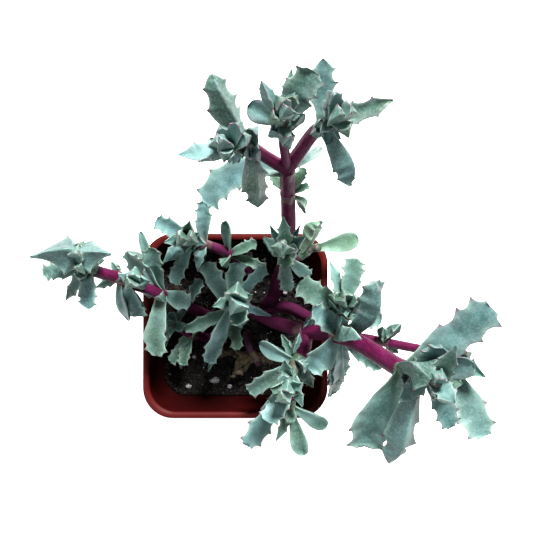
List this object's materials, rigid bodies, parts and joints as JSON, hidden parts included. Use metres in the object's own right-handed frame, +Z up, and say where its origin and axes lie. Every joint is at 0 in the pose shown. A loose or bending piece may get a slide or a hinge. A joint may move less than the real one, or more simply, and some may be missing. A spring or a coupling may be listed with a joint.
{
  "type": "potted succulent plant",
  "caption": "Bushy ice plant with magenta stems and thick three-edged, toothed grey-green leaves in opposite pairs, growing in a small square nursery pot.",
  "frame": {"origin": "middle of the pot's underside", "axes": "+Z up, +Y towards the back of the pot, where the tallest stem leans, +X to the right seen from the front"},
  "size_m": [0.1108, 0.0954, 0.1135],
  "materials": {
    "pot_plastic": "satin",
    "potting_soil": "rough, loose",
    "stem_skin": "smooth, slightly waxy",
    "old_stem_skin": "dull bark",
    "leaf_skin": "waxy, with a pale bloom",
    "withered_leaf": "dry"
  },
  "bodies": {
    "root": {"back_centre_head": "leaf_skin", "back_left_head": "leaf_skin", "back_main_leaves": "leaf_skin", "back_right_head": "leaf_skin", "back_small_leaves": "leaf_skin", "back_stem": "stem_skin", "branch_leaves": "leaf_skin", "centre_head": "leaf_skin", "centre_high_leaves": "leaf_skin", "centre_low_leaves": "leaf_skin", "centre_stem": "stem_skin", "far_right_head": "leaf_skin", "fork_leaves": "leaf_skin", "front_head": "leaf_skin", "front_low_leaves": "leaf_skin", "middle_head": "leaf_skin", "middle_side_leaves": "leaf_skin", "northwest_head": "leaf_skin", "northwest_high_leaves": "leaf_skin", "northwest_low_leaves": "leaf_skin", "northwest_stem": "stem_skin", "old_stem": "old_stem_skin", "pot": "pot_plastic", "right_head": "leaf_skin", "right_node_leaves": "leaf_skin", "right_upper_head": "leaf_skin", "soil": "potting_soil", "southwest_head": "leaf_skin", "southwest_low_leaves": "leaf_skin", "southwest_stem": "stem_skin", "west_bud": "leaf_skin", "west_head": "leaf_skin", "west_low_leaves": "leaf_skin", "west_middle_leaves": "leaf_skin", "west_stem": "stem_skin", "withered_leaves": "withered_leaf"}
  },
  "joints": []
}
